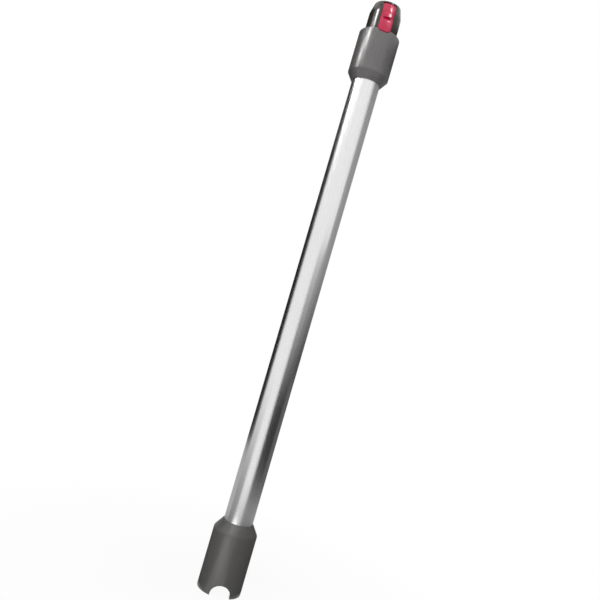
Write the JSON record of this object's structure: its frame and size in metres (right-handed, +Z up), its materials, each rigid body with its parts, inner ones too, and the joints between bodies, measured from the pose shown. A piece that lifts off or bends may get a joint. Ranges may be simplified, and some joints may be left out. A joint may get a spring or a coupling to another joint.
{
  "type": "vacuum cleaner tube",
  "caption": "Quick-release vacuum wand: a straight aluminium tube with a moulded socket at one end and a spigot with a sprung release catch at the other.",
  "frame": {"origin": "centre of the lower rim, on the surface that the wand stands on", "axes": "+Z up along the wand from the socket to the spigot, -Y front with the release catch and the rim's notch, +X to the right seen from the front"},
  "size_m": [0.053, 0.053, 0.735],
  "materials": {
    "anodised_aluminium": "satin anodised, drawn lengthwise",
    "cuff_plastic": "grey ABS, fine moulded grain",
    "collar_plastic": "grey ABS, fine moulded grain",
    "liner_plastic": "dark grey ABS",
    "spigot_plastic": "dark grey polished ABS",
    "catch_plastic": "crimson polished ABS",
    "insulator": "black moulded",
    "contact_brass": "bright drawn bar",
    "pin_steel": "ground",
    "spring_steel": "rolled strip",
    "wire_red": "extruded insulation",
    "wire_black": "extruded insulation",
    "shrink_sleeve": "shrunk tubing"
  },
  "bodies": {
    "wand": {"tube": "anodised_aluminium", "lower_cuff": "cuff_plastic", "socket_liner": "liner_plastic", "receptacle_block": "insulator", "socket_contact_left": "contact_brass", "socket_contact_right": "contact_brass", "upper_collar": "collar_plastic", "spigot": "spigot_plastic", "catch_pin": "pin_steel", "catch_spring": "spring_steel", "plug_block": "insulator", "plug_pin_left": "contact_brass", "plug_pin_right": "contact_brass", "wire_positive": "wire_red", "wire_negative": "wire_black", "sleeve_lower_left": "shrink_sleeve", "sleeve_lower_right": "shrink_sleeve", "sleeve_upper_left": "shrink_sleeve", "sleeve_upper_right": "shrink_sleeve"},
    "catch": {"release_catch": "catch_plastic"}
  },
  "joints": [
    {"name": "catch_press", "type": "hinge", "parent": "wand", "child": "catch", "pos_m": [0, -0.0146, 0.7285], "axis": [1, 0, 0], "range_deg": [0, 6.3], "stiffness_Nm_per_rad": 0.5, "springref_deg": -5.73, "deforming": ["catch_spring"]}
  ]
}
